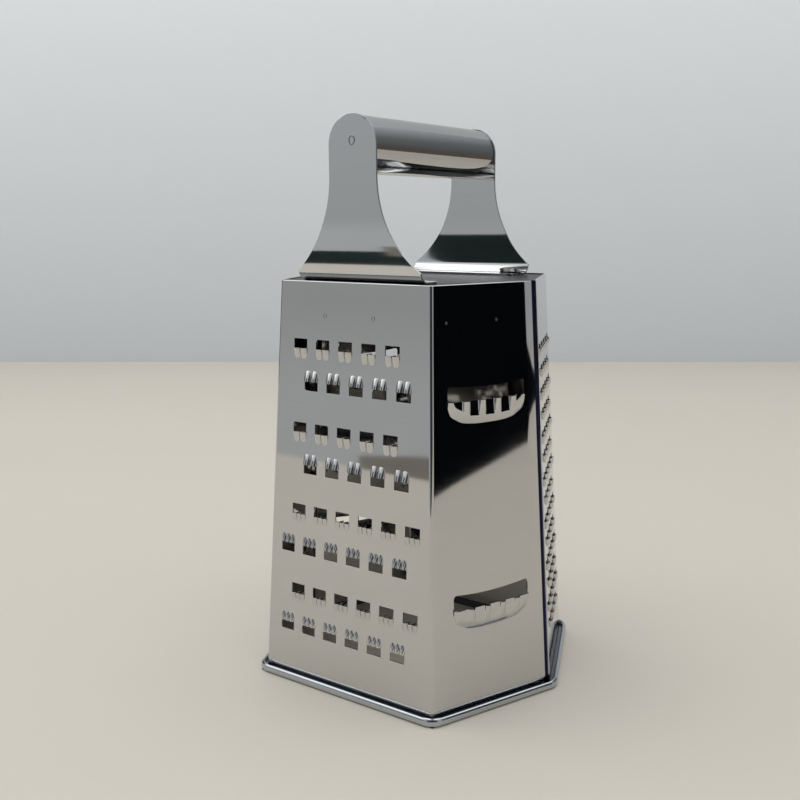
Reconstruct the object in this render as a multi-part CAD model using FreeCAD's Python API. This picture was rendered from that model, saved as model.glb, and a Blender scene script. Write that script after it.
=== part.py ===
import FreeCAD, Part
import math
import os

# Six-sided kitchen grater in polished stainless sheet, in millimetres, +Z up.
# The origin is on the surface it stands on, under the middle of the body.
# The wide front face looks towards -Y, and the two lock seams are on the X axis.

Vector = FreeCAD.Vector

# Sheet metal
sheet = 0.5
cap_gauge = 0.6
bracket_gauge = 0.8
tube_gauge = 0.6
plug_gauge = 1.5
fit_gap = 0.05

# Body: half sizes of the hexagon on the ground and at the top edge
wall_top = 163.5
base_half_width = 41.8
base_half_depth = 53.3
top_half_width = 35.6
top_half_depth = 44.5
side_slant = 0.41
corner_bend = 1.6
seam_hook = 4.0

# Base ring: round bead outside, groove along the sheets, floor under them, upright leg inside
bead_reach = 3.3
bead_height = 3.6
bead_round = 1.7
bead_corner = 7.5
bead_chamfer = 1.2
groove_width = 1.3
groove_floor = 1.9
ring_floor = 0.8
ring_leg = 0.8
ring_leg_top = 3.0

# Top cap
cap_recess = 0.4
cap_tab_depth = 18.0
cap_tab_cut = 3.0
cap_tab_margin = 9.8

# Handle
grip_height = 214.0
grip_radius = 10.6
bracket_setback = 1.2
bracket_half_width = 11.0
bracket_foot_half = 29.0
bracket_flare = 44.0
bracket_bend = 5.0
bracket_foot_run = 9.0
bracket_foot_corner = 4.0

# Shredding teeth of the front face: rows that cut upwards and downwards in turn
tooth_pitch = 11.1
tooth_row_step = 16.7
tooth_drop = 24.3
tooth_margin = 5.0
coarse_rows = 4
coarse_width = 6.7
coarse_window = 3.7
coarse_lip_length = 4.2
coarse_lip_height = 1.5
coarse_lobes = 2
fine_width = 6.8
fine_window = 3.8
fine_lip_length = 3.6
fine_lip_height = 1.1
fine_lobes = 3
coarse_lobe_facets = 4
fine_lobe_facets = 3
lobe_valley = 0.35
lip_taper = 0.15

# Slicers of two side faces: a raised blade over a slot, fluted on one face and plain on the other
upper_slicer_drop = 42.5
lower_slicer_rise = 42.0
slicer_mouth = 36.0
slicer_gap = 5.9
slicer_gap_sag = 1.2
slicer_gap_corner = 1.6
slicer_length = 9.0
slicer_height = 3.6
slicer_swell_run = 0.5
slicer_swell = 0.65
flute_pitch = 7.2
flute_depth = 0.9
fluted_columns = 20
plain_columns = 10

# Hooded teeth of the right rear face, and smaller ones of the rear face
pattern_foot = 20.0
pattern_margin = 4.0
hood_drop = 26.5
hood_row_step = 8.8
hood_pitch = 9.0
hood_width = 4.8
hood_window = 2.2
hood_length = 3.4
hood_height = 1.1
small_hood_drop = 23.5
small_hood_row_step = 13.0
small_hood_pitch = 13.0
small_hood_width = 3.4
small_hood_window = 1.8
small_hood_length = 2.6
small_hood_height = 1.0
hood_facets = 3

# Rasp of the left front face: four-sided burrs round a punched hole
burr_drop = 23.5
burr_row_step = 12.4
burr_pitch = 11.4
burr_root = 3.8
burr_hole = 2.0
burr_height = 1.2

# Worked out from the sizes above
side_angle = math.atan(side_slant)
along_side = Vector(math.sin(side_angle), math.cos(side_angle), 0)
out_of_side = Vector(math.cos(side_angle), -math.sin(side_angle), 0)
seam_nose = (3 * sheet + 2 * fit_gap) / 2
seam_depth = 3 * (sheet + fit_gap)
hook_radius = seam_nose - sheet
cap_top = wall_top - cap_recess
bracket_plane = top_half_depth - bracket_setback
wall_inset = sheet + fit_gap
tiny = fit_gap / 100


def plan(z):
    # Half width, half depth and half apex width of the hexagon at one height
    share = z / wall_top
    width = base_half_width + (top_half_width - base_half_width) * share
    depth = base_half_depth + (top_half_depth - base_half_depth) * share
    return width, depth, width + side_slant * depth


def front_half(z):
    return plan(z)[0]


def side_half(z):
    return plan(z)[1] / along_side.y / 2


def mirrored(corners):
    return [(Vector(-p.x, p.y, p.z), radius) for p, radius in reversed(corners)]


def meet(p, p_direction, q, q_direction):
    # Crossing point of two lines in plan
    cross = p_direction.x * q_direction.y - p_direction.y * q_direction.x
    gap = q - p
    share = (gap.x * q_direction.y - gap.y * q_direction.x) / cross
    return p + p_direction * share


def rounded_edges(corners):
    # Edges of a closed outline through corner points, each given with the radius of its arc
    starts = []
    ends = []
    crowns = []
    for i, (point, radius) in enumerate(corners):
        back = (corners[i - 1][0] - point).normalize()
        ahead = (corners[(i + 1) % len(corners)][0] - point).normalize()
        half = back.getAngle(ahead) / 2
        run = radius / math.tan(half)
        starts.append(point + back * run)
        ends.append(point + ahead * run)
        crowns.append(point + (back + ahead).normalize() * (radius / math.sin(half) - radius))
    edges = []
    for i, (point, radius) in enumerate(corners):
        if radius > 0:
            edges.append(Part.Arc(starts[i], crowns[i], ends[i]).toShape())
        following = starts[(i + 1) % len(corners)]
        if (following - ends[i]).Length > tiny:
            edges.append(Part.makeLine(ends[i], following))
    return edges


def prism(corners, direction):
    return Part.Face(Part.Wire(rounded_edges(corners))).extrude(direction)


def loft(low, high):
    return Part.makeLoft([Part.Wire(rounded_edges(low)), Part.Wire(rounded_edges(high))], True, True)


def polygon(points):
    return Part.makePolygon(points + points[:1])


# Plan sections of the two folded sheets

def seam_point(z, along, out):
    # Point beside the right seam, measured along the front side face and out of it
    return Vector(plan(z)[2], 0, z) + along_side * along + out_of_side * out


def front_section(z):
    # Front sheet: its edge turns back on itself at the seam and forms an open hook
    width, depth, _ = plan(z)
    inner = meet(seam_point(z, 0, -sheet), along_side, Vector(0, sheet - depth, z), Vector(1, 0, 0))
    hook_floor = sheet - 2 * seam_nose
    right = [
        (Vector(width, -depth, z), corner_bend),
        (seam_point(z, 0, 0), seam_nose),
        (seam_point(z, 0, -2 * seam_nose), seam_nose),
        (seam_point(z, -seam_hook, -2 * seam_nose), 0),
        (seam_point(z, -seam_hook, hook_floor), 0),
        (seam_point(z, -sheet, hook_floor), hook_radius),
        (seam_point(z, -sheet, -sheet), hook_radius),
        (inner, corner_bend - sheet),
    ]
    return rounded_edges(right + mirrored(right))


def rear_section(z):
    # Rear sheet: runs in under the front hook and turns forward into it
    width, depth, apex = plan(z)
    along_rear = Vector(-along_side.x, along_side.y, 0)
    outer_line = Vector(apex, 0, z)
    inner_line = outer_line - Vector(out_of_side.x, -out_of_side.y, 0) * sheet
    outer_turn = meet(seam_point(z, 0, -seam_depth), along_side, outer_line, along_rear)
    inner_turn = meet(seam_point(z, 0, -seam_depth - sheet), along_side, inner_line, along_rear)
    inner = meet(inner_line, along_rear, Vector(0, depth - sheet, z), Vector(1, 0, 0))
    fold = -seam_hook - hook_radius
    leg_end = -seam_nose - fit_gap
    right = [
        (Vector(width, depth, z), corner_bend),
        (outer_turn, corner_bend),
        (seam_point(z, fold, -seam_depth), hook_radius),
        (seam_point(z, fold, -2 * sheet - fit_gap), hook_radius),
        (seam_point(z, leg_end, -2 * sheet - fit_gap), 0),
        (seam_point(z, leg_end, -sheet - fit_gap), 0),
        (seam_point(z, fold - sheet, -sheet - fit_gap), seam_nose),
        (seam_point(z, fold - sheet, -seam_depth - sheet), seam_nose),
        (inner_turn, corner_bend - sheet),
        (inner, corner_bend - sheet),
    ]
    return rounded_edges(right + mirrored(right))


# Frames of the six faces: X along the face, Y up its slope, Z out of it

def face_frame(turn, base_reach, top_reach, shift):
    out = Vector(math.sin(turn), -math.cos(turn), 0)
    along = Vector(math.cos(turn), math.sin(turn), 0)
    up = (out * (top_reach - base_reach) + Vector(0, 0, wall_top)).normalize()
    turned = FreeCAD.Rotation(along, up, along.cross(up), "XYZ")
    return FreeCAD.Placement(out * base_reach + along * shift, turned)


def side_middle(z):
    # Middle of a front side face, measured along it from the foot of its normal
    width, depth, apex = plan(z)
    return ((width + apex) * along_side.x - depth * along_side.y) / 2


def side_frame(right, front):
    quarter = math.pi / 2 - side_angle if front else math.pi / 2 + side_angle
    base_reach, top_reach = [plan(z)[2] * out_of_side.x for z in (0, wall_top)]
    middle = (side_middle(0) + side_middle(wall_top)) / 2
    shift = middle if right == front else -middle
    return face_frame(quarter if right else -quarter, base_reach, top_reach, shift)


def uprightness(frame):
    # Rise of a face for each millimetre along its slope
    return frame.Rotation.multVec(Vector(0, 1, 0)).z


front_frame = face_frame(0, base_half_depth, top_half_depth, 0)
rear_frame = face_frame(math.pi, base_half_depth, top_half_depth, 0)
right_front_frame = side_frame(True, True)
right_rear_frame = side_frame(True, False)
left_front_frame = side_frame(False, True)
left_rear_frame = side_frame(False, False)


# Punched and pressed features.
# Each is a list of facets and the outlines of its hole in the outer and inner skin of the sheet.

def distinct(points):
    kept = []
    for point in points:
        if all((point - other).Length > tiny for other in kept):
            kept.append(point)
    return kept


def strip(first, second):
    # Triangles between two rows of as many points, without those that have no area
    for i in range(len(first) - 1):
        yield first[i], first[i + 1], second[i + 1]
        yield first[i], second[i + 1], second[i]


def window(width, height):
    # Upper corners of a rectangular window over a cutting edge, from right to left
    return [Vector(width / 2, height, 0), Vector(-width / 2, height, 0)]


def slicer_window():
    # Upper edge of a slicer's slot: rounded at both ends and sagging in the middle
    half = slicer_mouth / 2
    corner = slicer_gap_corner
    right = [
        Vector(half, slicer_gap - corner, 0),
        Vector(half - corner, slicer_gap, 0),
        Vector(half / 2, slicer_gap - 3 / 4 * slicer_gap_sag, 0),
    ]
    left = [Vector(-p.x, p.y, 0) for p in reversed(right)]
    return right + [Vector(0, slicer_gap - slicer_gap_sag, 0)] + left


def lip(rows, top, gauge):
    # Raised lip through rows of points, from its cutting edge down to its root, with its window
    drop = Vector(0, 0, -gauge)
    edge = rows[0]
    root = rows[-1]
    facets = []
    for near, far in zip(rows, rows[1:]):
        for triangle in strip(near, far):
            facets.append(triangle)
            facets.append([p + drop for p in triangle])
    for line in (edge, [edge[-1]] + top + [edge[0]]):
        for a, b in zip(line, line[1:]):
            facets.append((a, b, b + drop, a + drop))
    outline = distinct(top + [edge[0]] + root + [edge[-1]])
    return facets, outline, [p + drop for p in outline]


def lobed_rows(width, height, length, lobes, facets):
    # Cutting edge with round lobes side by side, which run down to a root of the same lobed outline
    count = lobes * facets
    edge = []
    root = []
    for i in range(count + 1):
        x = width * (i / count - 0.5)
        swell = lobe_valley + (1 - lobe_valley) * abs(math.sin(math.pi * i / facets))
        if i in (0, count):
            swell = 0
        edge.append(Vector(x, 0, height * swell))
        root.append(Vector(x * (1 - lip_taper * swell), -length * swell, 0))
    return [edge, root]


def hooded_rows(width, height, length):
    # Cutting edge with a single round hood that runs down to a point
    edge = []
    for i in range(hood_facets + 1):
        angle = math.pi * i / hood_facets
        rise = height * math.sin(angle) if 0 < i < hood_facets else 0
        edge.append(Vector(-width / 2 * math.cos(angle), 0, rise))
    return [edge, [Vector(0, -length, 0)] * len(edge)]


def slicer_rows(flutes, columns):
    # Blade of a slicer: its edge bulges out, carries the flutes, and runs down to a round root
    edge = []
    swell = []
    root = []
    for i in range(columns + 1):
        share = 2 * i / columns - 1
        x = slicer_mouth / 2 * share
        bulge = slicer_height * math.sqrt(1 - share ** 4)
        wave = flutes * math.cos(2 * math.pi * x / flute_pitch) * (1 - share ** 4)
        run = slicer_length * (1 - abs(share) ** 3) ** (1 / 3)
        edge.append(Vector(x, 0, bulge - wave))
        swell.append(Vector(x, -slicer_swell_run * run, slicer_swell * bulge))
        root.append(Vector(x, -run, 0))
    return [edge, swell, root]


def burr(gauge):
    # Small four-sided crown with a sharp rim, pressed up round a punched hole
    def square(side, z):
        half = side / 2
        return [Vector(0, -half, z), Vector(half, 0, z), Vector(0, half, z), Vector(-half, 0, z)]
    rings = [
        square(burr_root, 0),
        square(burr_hole, burr_height),
        square(burr_root - 2 * gauge, -gauge),
    ]
    facets = []
    for low, high in zip(rings, rings[1:]):
        for i in range(4):
            facets.append((low[i - 1], low[i], high[i], high[i - 1]))
    return facets, rings[0], rings[-1]


def stamp(feature, frame, x, y, upside_down=False):
    # One feature set on a face at a place measured along it and up it
    turned = FreeCAD.Rotation(Vector(0, 0, 1), 180 if upside_down else 0)
    spot = frame.multiply(FreeCAD.Placement(Vector(x, y, 0), turned))
    facets, outer, inner = feature
    moved = [[spot.multVec(p) for p in points] for points in facets]
    return moved, [spot.multVec(p) for p in outer], [spot.multVec(p) for p in inner]


def rows_below(top, step):
    return int((top - pattern_foot) / step) + 1


def fitting(half, margin, width, pitch):
    # How many teeth of one width and pitch go between the margins of a face
    return int((2 * (half - margin) - width) / pitch) + 1


def staggered(frame, half, drop, step, pitch, width):
    # Places of a grid whose odd rows have one tooth less, half a pitch aside
    top = wall_top - drop
    columns = fitting(half(top * uprightness(frame)), pattern_margin, width, pitch)
    for row in range(rows_below(top, step)):
        count = columns - row % 2
        for column in range(count):
            yield (column - (count - 1) / 2) * pitch, top - row * step


def shredder(frame):
    # Coarse teeth above and fine ones below; every other row is turned over and set aside
    gauge = sheet * uprightness(frame)
    coarse_edge = lobed_rows(
        coarse_width, coarse_lip_height, coarse_lip_length, coarse_lobes, coarse_lobe_facets)
    fine_edge = lobed_rows(
        fine_width, fine_lip_height, fine_lip_length, fine_lobes, fine_lobe_facets)
    coarse = lip(coarse_edge, window(coarse_width, coarse_window), gauge)
    fine = lip(fine_edge, window(fine_width, fine_window), gauge)
    aside = tooth_pitch / 4
    top = wall_top - tooth_drop
    stamps = []
    for row in range(rows_below(top, tooth_row_step)):
        middle = top - row * tooth_row_step
        is_coarse = row < coarse_rows
        tooth, width, opening = (
            (coarse, coarse_width, coarse_window) if is_coarse else (fine, fine_width, fine_window))
        over = row % 2 == 1
        half = front_half(middle * uprightness(frame))
        columns = fitting(half - aside, tooth_margin, width, tooth_pitch)
        shift = aside if over == is_coarse else -aside
        y = middle + (opening / 2 if over else -opening / 2)
        for column in range(columns):
            x = (column - (columns - 1) / 2) * tooth_pitch + shift
            stamps.append(stamp(tooth, frame, x, y, over))
    return stamps


def slicers(frame, flutes, columns):
    blade = lip(slicer_rows(flutes, columns), slicer_window(), sheet * uprightness(frame))
    return [stamp(blade, frame, 0, y) for y in (wall_top - upper_slicer_drop, lower_slicer_rise)]


def hoods(frame, half):
    hood = lip(
        hooded_rows(hood_width, hood_height, hood_length), window(hood_width, hood_window),
        sheet * uprightness(frame))
    places = staggered(frame, half, hood_drop, hood_row_step, hood_pitch, hood_width)
    return [stamp(hood, frame, x, y) for x, y in places]


def small_hoods(frame, half):
    hood = lip(
        hooded_rows(small_hood_width, small_hood_height, small_hood_length),
        window(small_hood_width, small_hood_window), sheet * uprightness(frame))
    places = staggered(
        frame, half, small_hood_drop, small_hood_row_step, small_hood_pitch, small_hood_width)
    return [stamp(hood, frame, x, y) for x, y in places]


def rasp(frame, half):
    crown = burr(sheet * uprightness(frame))
    places = staggered(frame, half, burr_drop, burr_row_step, burr_pitch, burr_root)
    return [stamp(crown, frame, x, y) for x, y in places]


def folded_sheet(section, stamps):
    # Sheet between its lower and upper plan sections, with the stamps worked into its flat faces
    low = section(ring_floor)
    high = section(wall_top)
    faces = [Part.Face(Part.Wire(low)), Part.Face(Part.Wire(high))]
    outlines = [outline for _, outer, inner in stamps for outline in (outer, inner)]
    for bottom, top in zip(low, high):
        if bottom.Curve.TypeId == "Part::GeomCircle":
            faces.append(Part.makeRuledSurface(bottom, top))
            continue
        ends = [bottom.valueAt(p) for p in bottom.ParameterRange]
        ends += [top.valueAt(p) for p in reversed(top.ParameterRange)]
        normal = (ends[1] - ends[0]).cross(ends[2] - ends[0]).normalize()
        holes = [o for o in outlines if all(abs((p - ends[0]).dot(normal)) < tiny for p in o)]
        wires = [polygon(ends)] + [polygon(hole) for hole in holes]
        faces.append(Part.makeFace(wires, "Part::FaceMakerBullseye"))
    for facets, _, _ in stamps:
        for points in facets:
            corners = distinct(points)
            if len(corners) > 2:
                faces.append(Part.Face(polygon(corners)))
    return Part.Solid(Part.Shell(faces))


def front_shell():
    return folded_sheet(front_section, (
        shredder(front_frame)
        + slicers(right_front_frame, flute_depth, fluted_columns)
        + rasp(left_front_frame, side_half)))


def rear_shell():
    return folded_sheet(rear_section, (
        hoods(right_rear_frame, side_half)
        + small_hoods(rear_frame, front_half)
        + slicers(left_rear_frame, 0, plain_columns)))


# Ring, cap and handle

def hexagon(z, outset, radius=0):
    # Corners of the body's hexagon at one height, moved out of its faces by a distance
    apex = plan(z)[2] + outset / out_of_side.x
    depth = plan(z)[1] + outset
    width = apex - side_slant * depth
    right = [(Vector(width, -depth, z), radius), (Vector(apex, 0, z), radius), (Vector(width, depth, z), radius)]
    return right + mirrored(right)


def inner_hexagon(z):
    # Outline inside the sheets, notched on both sides round the seams
    front, _, rear = [point for point, _ in hexagon(z, -wall_inset)[:3]]
    along_rear = Vector(-along_side.x, along_side.y, 0)
    notch_end = -seam_hook - hook_radius - sheet - fit_gap
    notch_depth = seam_depth + sheet + fit_gap
    tip = meet(seam_point(z, 0, -notch_depth), along_side, rear, along_rear)
    inner_bend = corner_bend - wall_inset
    right = [
        (front, inner_bend),
        (seam_point(z, notch_end, -wall_inset), 0),
        (seam_point(z, notch_end, -notch_depth), 0),
        (tip, corner_bend),
        (rear, inner_bend),
    ]
    return right + mirrored(right)


def base_ring():
    bead = prism(hexagon(0, bead_reach, bead_corner), Vector(0, 0, bead_height))
    bead = bead.makeFillet(bead_round, [edge for edge in bead.Edges if edge.BoundBox.ZMin > bead_height - tiny])
    bead = bead.makeChamfer(bead_chamfer, [edge for edge in bead.Edges if edge.BoundBox.ZMax < tiny])
    slot = loft(hexagon(ring_floor, fit_gap), hexagon(bead_height, fit_gap))
    groove = loft(hexagon(groove_floor, fit_gap), hexagon(bead_height, groove_width))
    leg = loft(inner_hexagon(0), inner_hexagon(ring_leg_top))
    hollow = loft(hexagon(0, -wall_inset - ring_leg), hexagon(bead_height, -wall_inset - ring_leg))
    return bead.cut([slot, groove]).fuse(leg).cut(hollow).removeSplitter()


def top_cap():
    plate = prism(inner_hexagon(cap_top), Vector(0, 0, -cap_gauge))
    tabs = []
    for frame, face_half in (
            (front_frame, front_half), (rear_frame, front_half),
            (right_front_frame, side_half), (right_rear_frame, side_half),
            (left_front_frame, side_half), (left_rear_frame, side_half)):
        top = cap_top / uprightness(frame)
        low = top - cap_tab_depth
        half = face_half(cap_top) - cap_tab_margin
        tab = prism([
            (Vector(-half, top, -wall_inset), 0),
            (Vector(half, top, -wall_inset), 0),
            (Vector(half, low + cap_tab_cut, -wall_inset), 0),
            (Vector(half - cap_tab_cut, low, -wall_inset), 0),
            (Vector(cap_tab_cut - half, low, -wall_inset), 0),
            (Vector(-half, low + cap_tab_cut, -wall_inset), 0),
        ], Vector(0, 0, -cap_gauge))
        tab.Placement = frame
        tabs.append(tab)
    return plate.fuse(tabs).removeSplitter()


def bracket_outline():
    # Front view: round head about the grip, straight neck, and a flare down to the foot
    bend_top = cap_top + bracket_bend
    flare_run = bracket_foot_half - bracket_half_width
    flare_rise = math.sqrt(bracket_flare ** 2 - (bracket_flare - flare_run) ** 2)
    neck = bend_top + flare_rise
    turn = math.asin(flare_rise / bracket_flare) / 2
    middle = Vector(
        bracket_half_width + bracket_flare * (1 - math.cos(turn)), 0, neck - bracket_flare * math.sin(turn))
    right = [
        Vector(bracket_foot_half, 0, cap_top),
        Vector(bracket_foot_half, 0, bend_top),
        Vector(bracket_half_width, 0, neck),
        Vector(bracket_half_width, 0, grip_height),
    ]
    left = [Vector(-p.x, 0, p.z) for p in right]
    crown = Vector(0, 0, grip_height + bracket_half_width)
    return Part.Wire([
        Part.makeLine(left[0], right[0]),
        Part.makeLine(right[0], right[1]),
        Part.Arc(right[1], middle, right[2]).toShape(),
        Part.makeLine(right[2], right[3]),
        Part.Arc(right[3], crown, left[3]).toShape(),
        Part.makeLine(left[3], left[2]),
        Part.Arc(left[2], Vector(-middle.x, 0, middle.z), left[1]).toShape(),
        Part.makeLine(left[1], left[0]),
    ])


def rear_bracket():
    # Side view: upright plate whose foot bends in on to the cap
    head = grip_height + bracket_half_width
    foot_end = bracket_plane - bracket_bend - bracket_foot_run
    inner_face = bracket_plane - bracket_gauge
    left = -bracket_foot_half
    side = prism([
        (Vector(left, bracket_plane, head), 0),
        (Vector(left, bracket_plane, cap_top), bracket_bend),
        (Vector(left, foot_end, cap_top), 0),
        (Vector(left, foot_end, cap_top + bracket_gauge), 0),
        (Vector(left, inner_face, cap_top + bracket_gauge), bracket_bend - bracket_gauge),
        (Vector(left, inner_face, head), 0),
    ], Vector(2 * bracket_foot_half, 0, 0))
    front_view = Part.Face(bracket_outline()).extrude(Vector(0, bracket_plane, 0))
    top_view = prism([
        (Vector(-bracket_foot_half, bracket_plane, cap_top), 0),
        (Vector(bracket_foot_half, bracket_plane, cap_top), 0),
        (Vector(bracket_foot_half, foot_end, cap_top), bracket_foot_corner),
        (Vector(-bracket_foot_half, foot_end, cap_top), bracket_foot_corner),
    ], Vector(0, 0, head - cap_top))
    return side.common(front_view).common(top_view)


def grip_tube():
    half = bracket_plane - bracket_gauge
    start = Vector(0, -half, grip_height)
    tube = Part.makeCylinder(grip_radius, 2 * half, start, Vector(0, 1, 0))
    return tube.cut(Part.makeCylinder(grip_radius - tube_gauge, 2 * half, start, Vector(0, 1, 0)))


def rear_grip_plug():
    # Disc in the end of the tube, against the bracket
    radius = grip_radius - tube_gauge - fit_gap
    inner_end = bracket_plane - bracket_gauge - plug_gauge
    return Part.makeCylinder(radius, plug_gauge, Vector(0, inner_end, grip_height), Vector(0, 1, 0))


def to_front(shape):
    return shape.mirror(Vector(0, 0, 0), Vector(0, 1, 0))


nodes = {
    "front_shell": front_shell(),
    "rear_shell": rear_shell(),
    "base_ring": base_ring(),
    "top_cap": top_cap(),
    "front_bracket": to_front(rear_bracket()),
    "rear_bracket": rear_bracket(),
    "grip_tube": grip_tube(),
    "front_grip_plug": to_front(rear_grip_plug()),
    "rear_grip_plug": rear_grip_plug(),
}

os.makedirs("parts", exist_ok=True)
for name, shape in nodes.items():
    shape.exportStep("parts/%s.step" % name)
    print(name, "solids", len(shape.Solids), "valid", shape.isValid(), "volume", round(shape.Volume, 1))
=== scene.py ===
import math
import bpy
from mathutils import Matrix, Vector


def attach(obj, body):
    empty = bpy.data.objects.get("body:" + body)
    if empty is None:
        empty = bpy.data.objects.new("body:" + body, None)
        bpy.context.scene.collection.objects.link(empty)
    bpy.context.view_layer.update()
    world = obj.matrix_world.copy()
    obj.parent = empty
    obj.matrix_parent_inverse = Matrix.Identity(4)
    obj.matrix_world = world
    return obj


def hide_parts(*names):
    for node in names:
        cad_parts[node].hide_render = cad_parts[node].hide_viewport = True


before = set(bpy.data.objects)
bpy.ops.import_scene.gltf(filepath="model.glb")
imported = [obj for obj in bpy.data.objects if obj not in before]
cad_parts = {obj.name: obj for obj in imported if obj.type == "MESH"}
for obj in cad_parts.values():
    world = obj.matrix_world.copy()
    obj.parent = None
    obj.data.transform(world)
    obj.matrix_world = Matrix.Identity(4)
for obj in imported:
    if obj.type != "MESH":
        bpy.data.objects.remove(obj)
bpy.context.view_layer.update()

mm = 0.001
bpy.ops.object.select_all(action="DESELECT")


# Ways of working shared by the pieces; lengths are in mm

def activate(*objs):
    if bpy.context.mode != "OBJECT":
        bpy.ops.object.mode_set(mode="OBJECT")
    bpy.ops.object.select_all(action="DESELECT")
    for obj in objs:
        obj.select_set(True)
    bpy.context.view_layer.objects.active = objs[0]


def named(piece, name):
    piece.name = name
    piece.data.name = name
    return piece


def started(name):  # the primitive just added, its place moved into its mesh
    bpy.ops.object.transform_apply(location=True, rotation=True, scale=True)
    return named(bpy.context.object, name)


def enter():
    bpy.ops.object.mode_set(mode="EDIT")


def leave():
    bpy.ops.object.mode_set(mode="OBJECT")


def pick(piece, kind, test):  # selects vertices or edges by their place, and leaves edit mode on
    activate(piece)
    enter()
    bpy.ops.mesh.select_mode(type=kind)
    bpy.ops.mesh.select_all(action="DESELECT")
    leave()
    mesh = piece.data
    if kind == "VERT":
        for v in mesh.vertices:
            v.select = test(v.co / mm)
    else:
        for e in mesh.edges:
            e.select = test(*(mesh.vertices[i].co / mm for i in e.vertices))
    enter()


def pickNumbers(piece, test):  # selects vertices by their number and place
    pick(piece, "VERT", lambda p: False)
    leave()
    for v in piece.data.vertices:
        v.select = test(v.index, v.co / mm)
    enter()


def pickAll(piece):
    activate(piece)
    enter()
    bpy.ops.mesh.select_all(action="SELECT")


def extrude(x, y, z):
    bpy.ops.mesh.extrude_region_move(TRANSFORM_OT_translate={"value": (x * mm, y * mm, z * mm)})


def slide(x, y, z):
    bpy.ops.transform.translate(value=(x * mm, y * mm, z * mm))


def stretch(x, y, z, centre=(0, 0, 0)):
    bpy.ops.transform.resize(value=(x, y, z), center_override=[c * mm for c in centre])


def bevel(offset, segments, affect="EDGES"):
    bpy.ops.mesh.bevel(offset=offset * mm, segments=segments, affect=affect)


def keepSide(piece, point, normal):  # cuts away what lies behind a plane
    pickAll(piece)
    bpy.ops.mesh.bisect(plane_co=[c * mm for c in point], plane_no=normal, clear_inner=True, threshold=1e-7)
    leave()


def modify(piece, kind, **values):
    activate(piece)
    bpy.ops.object.modifier_add(type=kind)
    modifier = piece.modifiers[-1]
    for key, value in values.items():
        setattr(modifier, key, value)
    bpy.ops.object.modifier_apply(modifier=modifier.name)


def thicken(piece, gauge):
    modify(piece, "SOLIDIFY", thickness=gauge * mm, offset=-1, use_even_offset=True)


def soften(piece, width, segments):  # rounds the sharp edges of a plate or tube
    modify(piece, "BEVEL", width=width * mm, segments=segments, limit_method="ANGLE",
           angle_limit=math.radians(50))


def flip(piece):
    pickAll(piece)
    bpy.ops.mesh.flip_normals()
    leave()


def outward(piece):
    pickAll(piece)
    bpy.ops.mesh.normals_make_consistent(inside=False)
    leave()


def joined(pieces, name):
    activate(*pieces)
    bpy.ops.object.join()
    return named(bpy.context.object, name)


def copied(piece):
    copy = piece.copy()
    copy.data = piece.data.copy()
    bpy.context.collection.objects.link(copy)
    return copy


def spread(template, place, spots):  # one modelled feature set at each spot of a wall, turned over or not
    copies = []
    for x, y, over in spots:
        copy = copied(template)
        turn = Matrix.Rotation(math.pi if over else 0, 4, "Z")
        copy.matrix_world = place @ Matrix.Translation((x * mm, y * mm, 0)) @ turn
        copies.append(copy)
    return copies


def cut(piece, cutters):
    cutter = joined(cutters, "cutter")
    modify(piece, "BOOLEAN", operation="DIFFERENCE", solver="EXACT", object=cutter)
    bpy.data.objects.remove(cutter)


def smooth(piece, angle=35):
    activate(piece)
    bpy.ops.object.shade_smooth_by_angle(angle=math.radians(angle))
    modify(piece, "WEIGHTED_NORMAL", keep_sharp=True, weight=100)


def finished(piece, nodes, material):
    activate(piece)
    bpy.ops.object.transform_apply(location=True, rotation=True, scale=True)
    piece.data.materials.clear()
    piece.data.materials.append(material)
    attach(piece, "root")
    for name in nodes:
        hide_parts(name)
    print("piece", piece.name, len(piece.data.polygons), "faces")


# Finishes

def groupOf(name, takes, gives):
    group = bpy.data.node_groups.new(name, "ShaderNodeTree")
    for label, kind, value in takes:
        socket = group.interface.new_socket(label, in_out="INPUT", socket_type=kind)
        if value is not None:
            socket.default_value = value
    for label, kind in gives:
        group.interface.new_socket(label, in_out="OUTPUT", socket_type=kind)
    return group, group.nodes.new("NodeGroupInput"), group.nodes.new("NodeGroupOutput")


def sums(tree, kind, *values):  # one arithmetic node; its inputs are sockets or numbers
    node = tree.nodes.new("ShaderNodeMath")
    node.operation = kind
    for number, value in enumerate(values):
        if isinstance(value, (int, float)):
            node.inputs[number].default_value = value
        else:
            tree.links.new(value, node.inputs[number])
    return node.outputs[0]


def held(tree, value):  # between nought and one
    return sums(tree, "MINIMUM", sums(tree, "MAXIMUM", value, 0), 1)


def partsOf(tree, place):
    apart = tree.nodes.new("ShaderNodeSeparateXYZ")
    tree.links.new(place, apart.inputs[0])
    return apart.outputs


def noiseOf(tree, place, scale, detail, stretchBy=(1, 1, 1)):
    scaled = tree.nodes.new("ShaderNodeMapping")
    scaled.inputs["Scale"].default_value = stretchBy
    tree.links.new(place, scaled.inputs["Vector"])
    noise = tree.nodes.new("ShaderNodeTexNoise")
    noise.inputs["Scale"].default_value = scale
    noise.inputs["Detail"].default_value = detail
    tree.links.new(scaled.outputs[0], noise.inputs["Vector"])
    return noise.outputs[0]


polishing = {"cloud": 38, "grain": 60, "drawn": (1, 1, 42), "waves": 17,  # how fine each noise is
             "streakRough": 0.02, "streakTone": 0.035, "patchTone": -0.03}  # how far it changes the steel


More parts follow.
